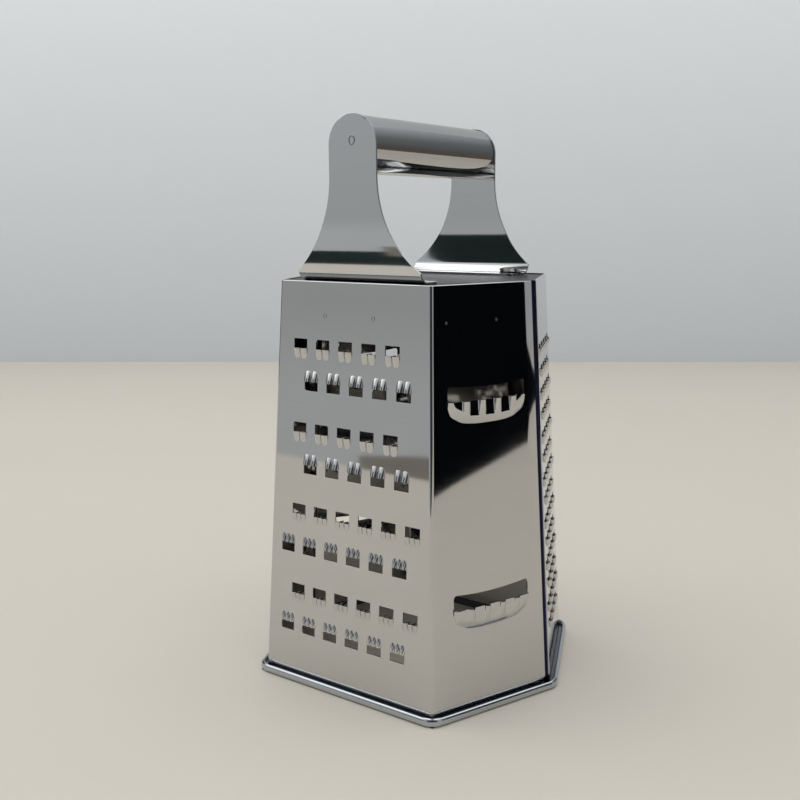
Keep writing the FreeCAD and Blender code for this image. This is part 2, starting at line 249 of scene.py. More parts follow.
def polishGroup():  # smudges, rolling grain and the slight waves of a polished sheet
    group, given, made = groupOf(
        "polish",
        [("Place", "NodeSocketVector", None), ("Tone", "NodeSocketFloat", 0.62),
         ("Cool", "NodeSocketFloat", 1.0), ("Roughness", "NodeSocketFloat", 0.07),
         ("Smudge", "NodeSocketFloat", 0.05)],
        [("Color", "NodeSocketColor"), ("Roughness", "NodeSocketFloat"), ("Height", "NodeSocketFloat")])
    place, cool = given.outputs["Place"], given.outputs["Cool"]
    cloud = noiseOf(group, place, polishing["cloud"], detail=3)
    grain = noiseOf(group, place, polishing["grain"], detail=2, stretchBy=polishing["drawn"])
    waves = noiseOf(group, place, polishing["waves"], detail=1)
    patch = sums(group, "SUBTRACT", cloud, 0.5)
    streak = sums(group, "SUBTRACT", grain, 0.5)
    rough = sums(group, "MULTIPLY_ADD", patch, given.outputs["Smudge"], given.outputs["Roughness"])
    rough = sums(group, "MULTIPLY_ADD", streak, polishing["streakRough"], rough)
    tone = sums(group, "MULTIPLY_ADD", streak, polishing["streakTone"], given.outputs["Tone"])
    tone = sums(group, "MULTIPLY_ADD", patch, polishing["patchTone"], tone)
    colour = group.nodes.new("ShaderNodeCombineColor")
    group.links.new(sums(group, "DIVIDE", tone, cool), colour.inputs[0])
    group.links.new(tone, colour.inputs[1])
    group.links.new(sums(group, "MULTIPLY", tone, cool), colour.inputs[2])
    group.links.new(colour.outputs[0], made.inputs["Color"])
    group.links.new(rough, made.inputs["Roughness"])
    group.links.new(waves, made.inputs["Height"])
    return group


sideFacing = {"x": 0.925, "y": 0.379}  # the way that a side wall faces, without signs


def maskWithin(group, given, made, distance, sharpness):  # full within the width, with a soft edge
    inside = sums(group, "SUBTRACT", given.outputs["Width"], distance)
    group.links.new(held(group, sums(group, "MULTIPLY", inside, sharpness)), made.inputs["Mask"])
    return group


def seamShadeGroup():  # masks the hem along each of the two lock seams for painted shade of the seam's dark gap, from the place alone
    group, given, made = groupOf(
        "seamShade",
        [("Place", "NodeSocketVector", None), ("Foot", "NodeSocketFloat", 0.06365),
         ("Lean", "NodeSocketFloat", -0.06), ("Width", "NodeSocketFloat", 0.002)],
        [("Mask", "NodeSocketFloat")])
    x, y, z = partsOf(group, given.outputs["Place"])
    corner = sums(group, "MULTIPLY_ADD", z, given.outputs["Lean"], given.outputs["Foot"])
    inX = sums(group, "SUBTRACT", corner, sums(group, "ABSOLUTE", x))
    inY = sums(group, "ABSOLUTE", y)
    near = sums(group, "ADD", sums(group, "MULTIPLY", inX, sideFacing["y"]),
                sums(group, "MULTIPLY", inY, sideFacing["x"]))
    return maskWithin(group, given, made, near, sharpness=6000)


def grooveShadeGroup():  # masks the inner half of the rim for painted shade of the gap by the wall, from the place alone
    group, given, made = groupOf(
        "groove",
        [("Place", "NodeSocketVector", None), ("Depth", "NodeSocketFloat", 0.0533),
         ("Reach", "NodeSocketFloat", 0.0589), ("Width", "NodeSocketFloat", 0.0018)],
        [("Mask", "NodeSocketFloat")])
    inX, inY = (sums(group, "ABSOLUTE", part) for part in partsOf(group, given.outputs["Place"])[:2])
    slant = sums(group, "ADD", sums(group, "MULTIPLY", inX, sideFacing["x"]),
                 sums(group, "MULTIPLY", inY, sideFacing["y"]))
    outside = sums(group, "MAXIMUM", sums(group, "SUBTRACT", slant, given.outputs["Reach"]),
                   sums(group, "SUBTRACT", inY, given.outputs["Depth"]))
    return maskWithin(group, given, made, outside, sharpness=4000)


polish = polishGroup()
seamShade = seamShadeGroup()
groove = grooveShadeGroup()


def steel(name, tone, roughness, smudge=0.05, wave=0.05, cool=1.0, paintedShade=None, edge=1.0):
    material = bpy.data.materials.new(name)
    material.use_nodes = True
    tree = material.node_tree
    shader = tree.nodes["Principled BSDF"]
    shader.inputs["Metallic"].default_value = 1
    shader.inputs["Specular Tint"].default_value = (edge, edge, edge, 1)
    place = tree.nodes.new("ShaderNodeTexCoord").outputs["Object"]
    marks = tree.nodes.new("ShaderNodeGroup")
    marks.node_tree = polish
    for label, value in (("Tone", tone), ("Roughness", roughness), ("Smudge", smudge), ("Cool", cool)):
        marks.inputs[label].default_value = value
    tree.links.new(place, marks.inputs["Place"])
    colour = marks.outputs["Color"]
    if paintedShade:  # painted shade: a dark tint where a mask says
        shadeGroup = tree.nodes.new("ShaderNodeGroup")
        shadeGroup.node_tree, tint = paintedShade
        tree.links.new(place, shadeGroup.inputs["Place"])
        mix = tree.nodes.new("ShaderNodeMix")
        mix.data_type = "RGBA"
        mix.inputs["B"].default_value = (*tint, 1)
        tree.links.new(shadeGroup.outputs["Mask"], mix.inputs["Factor"])
        tree.links.new(colour, mix.inputs["A"])
        colour = mix.outputs["Result"]
    tree.links.new(colour, shader.inputs["Base Color"])
    tree.links.new(marks.outputs["Roughness"], shader.inputs["Roughness"])
    bump = tree.nodes.new("ShaderNodeBump")
    bump.inputs["Strength"].default_value = 1
    bump.inputs["Distance"].default_value = wave * mm
    tree.links.new(marks.outputs["Height"], bump.inputs["Height"])
    tree.links.new(bump.outputs["Normal"], shader.inputs["Normal"])
    return material


# sheetSteel paints shade: a dark navy line on the hem of each lock seam stands for the shaded gap there
sheetSteel = steel("sheetSteel", 0.59, 0.045, smudge=0.04, wave=0.07, cool=0.99,
                   paintedShade=(seamShade, (0.009, 0.011, 0.045)))
# rimSteel paints shade: the inner half of the rim, by the wall, is darkened to stand for the shaded gap
# there
# the rim's cooler tint is painted reflection of the bluish room
rimSteel = steel("rimSteel", 0.52, 0.19, smudge=0.06, wave=0.03, cool=1.05,
                 paintedShade=(groove, (0.16, 0.175, 0.195)))
# painted shade: the top cap is made dark, with dull edges, to stand for the shaded gap between the
# brackets' feet and the walls' top edges
shadedCapSteel = steel("shadedCapSteel", 0.18, 0.25, edge=0.35)
bracketSteel = steel("bracketSteel", 0.68, 0.05, smudge=0.03, wave=0.03)
gripSteel = steel("gripSteel", 0.52, 0.06, smudge=0.04, wave=0.02)
plugSteel = steel("plugSteel", 0.52, 0.25)
weldSteel = steel("weldSteel", 0.3, 0.32)
print("finishes made")


# The folded body: six walls that lean inwards, in a front and a rear sheet

body = {"top": 163.5, "foot": 0.8, "width": 41.8, "depth": 53.3, "topWidth": 35.6, "topDepth": 44.5,
        "slant": 0.41, "sideShift": 4.138, "sheet": 0.5, "bend": 1.6, "round": 0.42,
        "nose": 0.8, "hook": 4.0, "pocket": 0.6, "fit": 0.05, "hem": 2.3, "sink": 0.22, "bow": 4.5,
        "hookClear": 0.3, "tongue": 2.0, "turnBend": 0.33}
body["apex"] = body["width"] + body["slant"] * body["depth"]
body["topApex"] = body["topWidth"] + body["slant"] * body["topDepth"]
sideAngle = math.atan(body["slant"])
sideOut = Vector((math.cos(sideAngle), -math.sin(sideAngle), 0))  # of the right front wall
sideAlong = Vector((math.sin(sideAngle), math.cos(sideAngle), 0))
cornerRun = body["bend"] * math.tan((math.pi / 2 - sideAngle) / 2)
planRadius = 50  # of the six-sided plan before it is stretched
seamFrom = 50  # only the seams lie further out than this
through = 1.5  # how far cutters reach to each side of a wall


def facePlace(turn, baseReach, topReach, shift=0):  # x along a wall, y up its slope, z out of it
    out = Vector((math.sin(turn), -math.cos(turn), 0))
    along = Vector((math.cos(turn), math.sin(turn), 0))
    up = (out * (topReach - baseReach) + Vector((0, 0, body["top"]))).normalized()
    place = Matrix((along, up, along.cross(up))).transposed().to_4x4()
    place.translation = (out * baseReach + along * shift) * mm
    return place


def sidePlace(right, front):  # from the middle of a side wall
    turn = math.pi / 2 - sideAngle if front else math.pi / 2 + sideAngle
    shift = -body["sideShift"] if right == front else body["sideShift"]
    reach = math.cos(sideAngle)
    return facePlace(turn if right else -turn, body["apex"] * reach, body["topApex"] * reach, shift)


frontWall = facePlace(0, body["depth"], body["topDepth"])
rearWall = facePlace(math.pi, body["depth"], body["topDepth"])


def hexPlan(name, width, depth, apex, z=0, fill="NOTHING"):  # half width, half depth and side corners
    bpy.ops.mesh.primitive_circle_add(vertices=6, radius=planRadius * mm, rotation=(0, 0, math.pi / 2),
                                      location=(0, 0, z * mm), fill_type=fill)
    piece = started(name)
    pick(piece, "VERT", lambda p: abs(p.y) > 1)
    stretch(width / (planRadius / 2), depth / (planRadius * math.sin(math.pi / 3)), 1)
    pick(piece, "VERT", lambda p: abs(p.y) < 1)
    stretch(apex / planRadius, 1, 1)
    leave()
    return piece


def halfPlan(name, side):  # plan of the walls on one side of the seams
    piece = hexPlan(name, body["width"], body["depth"], body["apex"])
    pick(piece, "VERT", lambda p: p.y * side < -1)
    bpy.ops.mesh.delete(type="VERT")
    leave()
    return piece


# Measured from the right seam's sharp corner, along the front wall and into it
def seamPoint(along, depth):
    return Vector((body["apex"], 0, 0)) + sideAlong * along - sideOut * depth


def drawSeam(piece, points):  # moves the free end to the first point and draws the line on from there
    for sign in (1, -1):
        def isEnd(p):
            return p.x * sign > seamFrom and abs(p.y) < 1
        end = next(v.co / mm for v in piece.data.vertices if isEnd(v.co / mm))
        pick(piece, "VERT", isEnd)
        slide(points[0].x * sign - end.x, points[0].y - end.y, 0)
        for a, b in zip(points, points[1:]):
            extrude((b.x - a.x) * sign, b.y - a.y, 0)
        leave()


def drawUp(piece):  # the plan drawn up to the smaller top edge
    pickAll(piece)
    extrude(0, 0, body["top"])
    pick(piece, "VERT", lambda p: p.z > 1 and abs(p.x) < seamFrom)
    stretch(body["topWidth"] / body["width"], body["topDepth"] / body["depth"], 1)
    for sign in (1, -1):
        pick(piece, "VERT", lambda p: p.z > 1 and p.x * sign > seamFrom)
        slide((body["topApex"] - body["apex"]) * sign, 0, 0)
    leave()


def bendEdges(piece, target, offset, segments):
    def upright(a, b):
        low = a if a.z < b.z else b
        return abs(a.z - b.z) > 1 and abs(abs(low.x) - target.x) < 0.1 and abs(low.y - target.y) < 0.1
    pick(piece, "EDGE", upright)
    bevel(offset, segments)
    leave()


def frontStrip():
    piece = halfPlan("frontSheet", -1)
    hem, sink, bow = body["hem"], body["sink"], body["bow"]
    points = []
    for share in (0, 0.12, 0.25, 0.4, 0.55, 0.7, 0.85, 1):  # the wall bows in to its hem
        points.append(seamPoint(-hem - bow * (1 - share), sink * share ** 2))
    sink += (hem - body["nose"]) * 2 * sink / bow
    nose = (2 * body["nose"] - sink) / 2
    for step in range(7):  # and folds back on itself round the nose
        angle = math.pi * step / 6
        points.append(seamPoint(-nose + nose * math.sin(angle), sink + nose - nose * math.cos(angle)))
    points.append(seamPoint(-body["hook"], 2 * body["nose"]))
    drawSeam(piece, points)
    drawUp(piece)
    bendEdges(piece, Vector((body["width"], -body["depth"], 0)), cornerRun, segments=5)
    return piece


def rearStrip():
    piece = halfPlan("rearSheet", 1)
    depth = 2 * body["nose"] + body["fit"]
    rearAlong = Vector((-sideAlong.x, sideAlong.y, 0))
    turn = seamPoint(0, 0) + rearAlong * depth / math.sin(2 * sideAngle)  # turns in behind the hook
    run = body["hook"] + body["hookClear"]
    points = [turn, seamPoint(-run, depth), seamPoint(-run, depth - body["pocket"]),
              seamPoint(-body["tongue"], depth - body["pocket"])]
    drawSeam(piece, points)
    drawUp(piece)
    bendEdges(piece, Vector((body["width"], body["depth"], 0)), cornerRun, segments=5)
    bendEdges(piece, turn, body["turnBend"], segments=3)
    return piece


def asSheet(piece, side):  # faces out, is given its gauge, and has its upper edge rounded on the outside
    keepSide(piece, (0, 0, body["foot"]), (0, 0, 1))
    wall = max(piece.data.polygons, key=lambda f: f.area)
    if wall.normal.y * side < 0:
        flip(piece)
    thicken(piece, body["sheet"])

    def onTop(p):
        pastSide = (abs(p.x) - body["topApex"]) * math.cos(sideAngle) + abs(p.y) * math.sin(sideAngle)
        return p.z > body["top"] - 0.1 and max(abs(p.y) - body["topDepth"], pastSide) > -0.4
    pick(piece, "EDGE", lambda a, b: onTop(a) and onTop(b))
    bevel(body["round"], segments=3)
    leave()


def windowCutter(sizes):  # a block through the wall, from under the lip up to the window's upper edge
    half = sizes["width"] / 2 * sizes["across"]
    low = (-half, -sizes["under"] * sizes["length"], -through)
    high = (half, sizes["window"], through)
    bpy.ops.mesh.primitive_cube_add(size=1, location=[(a + b) / 2 * mm for a, b in zip(low, high)],
                                    scale=[(b - a) * mm for a, b in zip(low, high)])
    return started("hole")


lipForm = {"rings": 14, "plan": 3, "ramp": 1.35, "swell": 0.3}


# A lip, open at its edge: wider than a ball, and either level near the edge or rising evenly to it
def quarterDome(name, halfWidth, length, height, segments, centre=0, ramp=False):
    rings, plan = lipForm["rings"], lipForm["plan"]
    bpy.ops.mesh.primitive_uv_sphere_add(segments=segments, ring_count=rings, radius=1 * mm,
                                         rotation=(math.pi / 2, 0, 0))
    piece = started(name)
    keepSide(piece, (0, 0, 0), (0, 0, 1))
    keepSide(piece, (0, 0, 0), (0, -1, 0))
    for ring in range(1, rings // 2):
        share = math.sin(math.pi * ring / rings)
        ball = math.sqrt(1 - share ** 2)
        rise = (1 - share ** lipForm["ramp"]) / ball if ramp else (1 + share ** 2) ** lipForm["swell"]
        pick(piece, "VERT", lambda p: abs(p.y + share) < 0.01)
        stretch((1 - share ** plan) ** (1 / plan) / ball, 1, rise)
    pickAll(piece)
    stretch(halfWidth, length, height)
    slide(centre, 0, 0)
    leave()
    return piece


# Teeth of the front wall: windows with lips of two or three lobes, every other row turned over
teeth = {"drop": 24.3, "step": 16.7, "pitch": 11.1, "rows": 8, "coarseRows": 4, "gauge": 0.45,
         "merge": 0.02,
         "coarse": {"count": 5, "width": 6.7, "window": 3.7, "length": 4.2, "height": 1.35, "lobes": 2,
                    "across": 0.99, "under": 0.33},
         "fine": {"count": 6, "width": 6.8, "window": 3.8, "length": 3.6, "height": 0.95, "lobes": 3,
                  "across": 0.99, "under": 0.33}}


def lobedLip(sizes):
    lobes = sizes["lobes"]
    step = sizes["width"] / lobes
    domes = []
    for number in range(lobes):
        middle = (number - (lobes - 1) / 2) * step
        dome = quarterDome("lobe", step / 2, sizes["length"], sizes["height"], 24, middle, ramp=True)
        if number > 0:
            keepSide(dome, (middle - step / 2, 0, 0), (1, 0, 0))
        if number < lobes - 1:
            keepSide(dome, (middle + step / 2, 0, 0), (-1, 0, 0))
        domes.append(dome)
    piece = joined(domes, "lip")
    pickAll(piece)
    bpy.ops.mesh.remove_doubles(threshold=teeth["merge"] * mm)
    leave()
    thicken(piece, teeth["gauge"])
    return piece


def toothSpots(kind):
    count, half = teeth[kind]["count"], teeth[kind]["window"] / 2
    spots = []
    for row in range(teeth["rows"]):
        isCoarse = row < teeth["coarseRows"]
        if isCoarse != (kind == "coarse"):
            continue
        over = row % 2 == 1
        shift = teeth["pitch"] / 4 * (1 if over == isCoarse else -1)
        y = body["top"] - teeth["drop"] - row * teeth["step"] + (half if over else -half)
        spots += [((c - (count - 1) / 2) * teeth["pitch"] + shift, y, over) for c in range(count)]
    return spots


# Slicers: the cage gives each row's shares of the run and of the height, from the foot to the edge
slicer = {"edges": (121.0, 42.0), "mouth": 36.0, "gap": 5.9, "under": 3.0, "inset": 0.2, "sag": 1.2,
          "corner": 1.6, "length": 9.0, "height": 3.6, "gauge": 0.5, "end": 0.995,
          "cage": ((1, 0), (0.88, 0.22), (0.74, 0.42), (0.69, 0.49), (0.65, 0.55), (0.61, 0.59),
                   (0.54, 0.65), (0.3, 0.84), (0, 1)),
          "flutes": 5, "pitch": 7.2, "fluteSides": (-2.65, -2.3, -1.9, 1.9, 2.3, 2.65),
          "fluteStart": 0.7, "fluteFloor": 1.8}
slicerSpots = [(0, y, False) for y in slicer["edges"]]


def slicerCutter():  # a slot with a sagging upper edge and round upper corners
    half, inset, columns = slicer["mouth"] / 2, slicer["inset"], 12
    bpy.ops.mesh.primitive_grid_add(x_subdivisions=columns, y_subdivisions=1, size=1 * mm)
    piece = started("slotCutter")
    pickAll(piece)
    stretch(slicer["mouth"] - 2 * inset, slicer["gap"] + slicer["under"], 1)
    slide(0, (slicer["gap"] - slicer["under"]) / 2, -through)
    leave()
    for number in range(1, columns):
        x = (number / (columns / 2) - 1) * (half - inset)
        pick(piece, "VERT", lambda p: abs(p.x - x) < 0.1 and p.y > 0)
        slide(0, -slicer["sag"] * (1 - (x / half) ** 2), 0)
        leave()
    pickAll(piece)
    extrude(0, 0, 2 * through)
    leave()
    pick(piece, "EDGE", lambda a, b: abs(a.z - b.z) > 1 and min(a.y, b.y) > 2 and abs(a.x) > half - 1)
    bevel(slicer["corner"], segments=5)
    leave()
    outward(piece)
    return piece


def moveVertex(piece, index, target):
    step = Vector(target) - piece.data.vertices[index].co / mm
    pickNumbers(piece, lambda number, p: number == index)
    slide(*step)
    leave()


# A coarse cage of the pressed scoop, smoothed; the flutes are pushed back in it
def slicerBlade(fluted):
    half = slicer["mouth"] / 2
    end = slicer["end"] * half
    middles = [(n - (slicer["flutes"] - 1) / 2) * slicer["pitch"] for n in range(slicer["flutes"])]
    sides = slicer["fluteSides"]
    columns = [-end] + [middle + side for middle in middles for side in sides] + [end]
    across, rows = len(columns), len(slicer["cage"])
    bpy.ops.mesh.primitive_grid_add(x_subdivisions=across - 1, y_subdivisions=rows - 1, size=1 * mm)
    piece = started("blade")
    places = [v.co / mm for v in piece.data.vertices]
    order = sorted(range(len(places)), key=lambda i: (round(places[i].y, 3), places[i].x))
    for number, index in enumerate(order):
        column, row = number % across, number // across
        x = columns[column]
        share, rise = slicer["cage"][row]
        run = slicer["length"] * (1 - abs(x / half) ** 3) ** (1 / 3)
        z = rise * slicer["height"] * math.sqrt(1 - (x / half) ** 4)
        inFlute = 0 < column < across - 1 and (column - 1) % len(sides) in (1, 2, 3, 4)
        if fluted and inFlute and share < slicer["fluteStart"]:
            z = min(z, slicer["fluteFloor"])  # a flute's floor is level with the wall
        moveVertex(piece, index, (x, -share * run, z))
    modify(piece, "SUBSURF", levels=2, boundary_smooth="PRESERVE_CORNERS")
    thicken(piece, slicer["gauge"])
    return piece


hoods = {"rows": 14, "count": 5, "drop": 26.5, "step": 8.8, "pitch": 9.0, "width": 4.8, "window": 1.6,
         "length": 3.4, "height": 1.1, "gauge": 0.4, "across": 0.98, "under": 0.35}
smallHoods = {"rows": 10, "count": 5, "drop": 23.5, "step": 13.0, "pitch": 13.0, "width": 3.4,
              "window": 1.8, "length": 2.6, "height": 1.0, "gauge": 0.4, "across": 0.98, "under": 0.35}
burrs = {"rows": 10, "count": 4, "drop": 23.5, "step": 12.4, "pitch": 11.4, "root": 3.8, "hole": 2.0,
         "bore": 1.2, "height": 1.2, "gauge": 0.3, "shoulder": 0.2, "notch": 0.45}


def staggered(grid):  # odd rows have one less, half a pitch aside
    spots = []
    for row in range(grid["rows"]):
        count = grid["count"] - row % 2
        y = body["top"] - grid["drop"] - row * grid["step"]
        spots += [((c - (count - 1) / 2) * grid["pitch"], y, False) for c in range(count)]
    return spots


def hoodLip(sizes):
    piece = quarterDome("hood", sizes["width"] / 2, sizes["length"], sizes["height"], 20)
    thicken(piece, sizes["gauge"])
    return piece


def burrCrown():  # a punched hole whose burst rim stands up in points
    height = burrs["height"]
    bpy.ops.mesh.primitive_cone_add(vertices=16, radius1=burrs["root"] / 2 * mm,
                                    radius2=burrs["hole"] / 2 * mm, depth=height * mm,
                                    end_fill_type="NOTHING", location=(0, 0, height / 2 * mm))
    piece = started("burr")

    def pastPoint(p):  # how many vertices on from a point, of the four up to the next
        return int(round(math.atan2(p.y, p.x) / (math.pi / 8))) % 4
    pick(piece, "VERT", lambda p: p.z > height / 2 and pastPoint(p) in (1, 3))
    slide(0, 0, -burrs["shoulder"])
    pick(piece, "VERT", lambda p: p.z > height / 2 and pastPoint(p) == 2)
    slide(0, 0, -burrs["notch"])
    leave()
    thicken(piece, burrs["gauge"])
    return piece


def burrCutter():
    bpy.ops.mesh.primitive_cylinder_add(vertices=16, radius=burrs["bore"] * mm, depth=2 * through * mm)
    return started("hole")


def punched(sheet, name, nodes, punches):  # cuts the holes of each punch and sets its lips over them
    lips, cutters = [], []
    for lip, hole, place, spots in punches:
        lips += spread(lip, place, spots)
        cutters += spread(hole, place, spots)
        bpy.data.objects.remove(lip)
        bpy.data.objects.remove(hole)
    cut(sheet, cutters)
    piece = joined([sheet] + lips, name)
    smooth(piece)
    finished(piece, nodes, sheetSteel)


def frontBody():
    sheet = frontStrip()
    asSheet(sheet, -1)
    punches = [(lobedLip(teeth[kind]), windowCutter(teeth[kind]), frontWall, toothSpots(kind))
               for kind in ("coarse", "fine")]
    punches.append((slicerBlade(True), slicerCutter(), sidePlace(True, True), slicerSpots))
    punches.append((burrCrown(), burrCutter(), sidePlace(False, True), staggered(burrs)))
    punched(sheet, "frontSheet", ["front_shell"], punches)


def rearBody():
    sheet = rearStrip()
    asSheet(sheet, 1)
    punches = [(hoodLip(grid), windowCutter(grid), place, staggered(grid))
               for place, grid in ((sidePlace(True, False), hoods), (rearWall, smallHoods))]
    punches.append((slicerBlade(False), slicerCutter(), sidePlace(False, False), slicerSpots))
    punched(sheet, "rearSheet", ["rear_shell"], punches)


frontBody()
rearBody()
print("body made")


# The rolled rim round the foot

rim = {"offset": 2.2, "half": 1.05, "height": 3.6, "squeeze": 0.995, "run": 2.6, "cornerRun": 4.3,
       "pinch": 0.9, "straight": 15, "under": 0.1, "lap": 2, "floor": 0.8, "groove": 1.9, "legIn": 1.35,
       "legOut": 0.55, "legTop": 3.0}


def hexSizes(offset):  # half width, half depth and apex of the plan set out by an offset
    width = body["width"] + offset * (1 - math.sin(sideAngle)) / math.cos(sideAngle)
    return width, body["depth"] + offset, body["apex"] + offset / math.cos(sideAngle)


def rimBead():
    middle = rim["height"] / 2
    piece = hexPlan("baseRim", *hexSizes(rim["offset"]), middle, "NGON")
    pick(piece, "VERT", lambda p: abs(p.y) > 1)
    bevel(rim["cornerRun"], segments=6, affect="VERTICES")
    pick(piece, "VERT", lambda p: abs(p.y) < 1)
    bevel(rim["run"], segments=4, affect="VERTICES")
    pickAll(piece)
    bpy.ops.mesh.delete(type="ONLY_FACE")
    leave()
    bpy.ops.object.convert(target="CURVE")
    curve = bpy.context.object.data
    curve.bevel_depth = rim["half"] * mm
    curve.bevel_resolution = 7
    points = curve.splines[0].points
    count = len(points)
    for number in range(count):
        before = (points[number].co - points[number - 1].co).length
        after = (points[(number + 1) % count].co - points[number].co).length
        if max(before, after) > rim["straight"] * mm:  # where a corner's arc meets a straight run
            points[number].radius = rim["pinch"]
    bpy.ops.object.convert(target="MESH")
    piece = bpy.context.object
    pickAll(piece)
    stretch(1, 1, middle / rim["half"] * rim["squeeze"], (0, 0, middle))
    leave()
    return piece


def rimChannel():  # the floor and inner leg that close over the sheets' lower edges
    level, offset = rim["under"], rim["lap"]
    inner, outer, fit = -rim["legIn"], -rim["legOut"], body["fit"]
    route = ((level, inner), (rim["legTop"], inner), (rim["legTop"], outer), (rim["floor"], outer),
             (rim["floor"], fit), (rim["groove"], fit), (rim["groove"], offset))
    piece = hexPlan("rimChannel", *hexSizes(offset), level)
    for newLevel, newOffset in route:
        old, new = hexSizes(offset), hexSizes(newOffset)
        known = len(piece.data.vertices)
        pickNumbers(piece, lambda number, p: number >= known - 6)
        extrude(0, 0, newLevel - level)
        leave()
        pickNumbers(piece, lambda number, p: number >= known and abs(p.y) > 1)
        stretch(new[0] / old[0], new[1] / old[1], 1)
        leave()
        pickNumbers(piece, lambda number, p: number >= known and abs(p.y) <= 1)
        stretch(new[2] / old[2], 1, 1)
        leave()
        level, offset = newLevel, newOffset
    return piece


def baseRim():
    piece = joined([rimBead(), rimChannel()], "baseRim")
    outward(piece)
    smooth(piece)
    finished(piece, ["base_ring"], rimSteel)


baseRim()
print("rim made")


# The brackets and the grip between them

bracket = {"plane": 43.3, "gauge": 0.8, "edge": 0.12, "half": 11.0, "foot": 29.0, "flare": 44.0,
           "bend": 5.0, "footRun": 9.0, "footCorner": 4.0, "low": 163.1, "axis": 214.0,
           "warp": 110.0, "warpRun": 20.0, "columns": 16}


def bracketRows():  # half width, y and z of each row from the foot's free edge up to the crown
    foot, half, low, plane = (bracket[key] for key in ("foot", "half", "low", "plane"))
    corner, bend, flare = (bracket[key] for key in ("footCorner", "bend", "flare"))
    warp, warpRun = bracket["warp"], bracket["warpRun"]
    lean = math.asin(warpRun / warp)  # the plate leans in a little before it is bent
    level = low + bend * (1 - math.sin(lean))
    back = -plane + warp * (1 - math.cos(lean)) + bend * math.cos(lean)
    rows = []
    for step in range(6):  # round corners of the foot
        angle = step / 5 * math.pi / 2
        rows.append((foot - corner + corner * math.sin(angle),
                     back + bracket["footRun"] - corner * (1 - math.cos(angle)), low))
    for step in range(11):  # the bend
        angle = math.pi / 2 - step / 10 * (math.pi / 2 - lean)
        rows.append((foot, back - bend * math.cos(angle), low + bend * (1 - math.sin(angle))))
    turn = math.acos(1 - (foot - half) / flare)
    for step in range(1, 25):  # the flared sides
        angle = turn * (1 - step / 24)
        z = level + flare * (math.sin(turn) - math.sin(angle))
        rise = max(0, warpRun - (z - level))
        rows.append((half + flare * (1 - math.cos(angle)), -plane + warp * (1 - math.cos(rise / warp)), z))
    for step in range(16):  # the round crown
        angle = step / 16 * math.pi / 2
        rows.append((half * math.cos(angle), -plane, bracket["axis"] + half * math.sin(angle)))
    return rows


def bracketPlate():
    rows = bracketRows()
    half, y, z = rows[0]
    bpy.ops.mesh.primitive_grid_add(x_subdivisions=bracket["columns"], y_subdivisions=1, size=2 * mm)
    piece = started("frontBracket")
    pick(piece, "VERT", lambda p: p.y > 0)
    bpy.ops.mesh.delete(type="VERT")
    pickAll(piece)
    stretch(half, 1, 1)
    slide(0, y + 1, z)
    for newHalf, newY, newZ in rows[1:]:
        extrude(0, newY - y, newZ - z)
        stretch(newHalf / half, 1, 1, (0, newY, newZ))
        half, y, z = newHalf, newY, newZ
    bpy.ops.mesh.merge(type="CENTER")
    leave()
    wall = max(piece.data.polygons, key=lambda f: f.center.z)
    if wall.normal.y > 0:
        flip(piece)
    thicken(piece, bracket["gauge"])
    soften(piece, bracket["edge"], segments=2)
    return piece


def brackets():
    front = bracketPlate()
    rear = named(copied(front), "rearBracket")
    activate(rear)
    bpy.ops.transform.rotate(value=math.pi, orient_axis="Z", center_override=(0, 0, 0))
    for piece, node in ((front, "front_bracket"), (rear, "rear_bracket")):
        smooth(piece)
        finished(piece, [node], bracketSteel)


grip = {"radius": 10.6, "length": 85.0, "gauge": 0.6, "edge": 0.15}


def gripTube():
    bpy.ops.mesh.primitive_cylinder_add(vertices=96, radius=grip["radius"] * mm, depth=grip["length"] * mm,
                                        end_fill_type="NOTHING", rotation=(math.pi / 2, 0, 0),
                                        location=(0, 0, bracket["axis"] * mm))
    piece = started("gripTube")
    outward(piece)
    thicken(piece, grip["gauge"])
    soften(piece, grip["edge"], segments=3)
    smooth(piece)
    finished(piece, ["grip_tube"], gripSteel)


brackets()
gripTube()
print("handle made")


# The spots where the pieces are welded

welds = {"ring": 0.85, "wire": 0.2, "oval": (0.8, 1, 0.3),
         "front": ((-12.8, 150.5), (10.3, 150.5)), "side": ((-17.4, 150.0), (5.4, 150.0)),
         "bracket": 215.4, "larger": 1.8, "smaller": 0.5}


def weldRing():
    bpy.ops.mesh.primitive_torus_add(major_segments=32, minor_segments=10, major_radius=welds["ring"] * mm,
                                     minor_radius=welds["wire"] * mm)
    piece = started("weldRing")
    pickAll(piece)
    stretch(*welds["oval"])
    leave()
    return piece


def weldMarks():
    ring = weldRing()
    side = sidePlace(True, True)
    upright = Matrix.Translation((0, -bracket["plane"] * mm, welds["bracket"] * mm))
    upright = upright @ Matrix.Rotation(math.pi / 2, 4, "X")
    spots = [(frontWall, x, y, 1) for x, y in welds["front"]]
    spots += [(side, x, y, welds["smaller"]) for x, y in welds["side"]]
    spots.append((upright, 0, 0, welds["larger"]))
    marks = []
    for place, x, y, size in spots:
        spot = place @ Matrix.Translation((x * mm, y * mm, 0)) @ Matrix.Scale(size, 4)
        marks += spread(ring, spot, [(0, 0, False)])
    bpy.data.objects.remove(ring)
    piece = joined(marks, "weldMarks")
    smooth(piece)
    finished(piece, [], weldSteel)


weldMarks()
plainNodes = {"top_cap": shadedCapSteel, "front_grip_plug": plugSteel, "rear_grip_plug": plugSteel}
for node, material in plainNodes.items():
    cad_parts[node].data.materials.clear()
    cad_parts[node].data.materials.append(material)
print("marks made")


# The studio: a pale table, a pale wall and soft light; lengths are in m

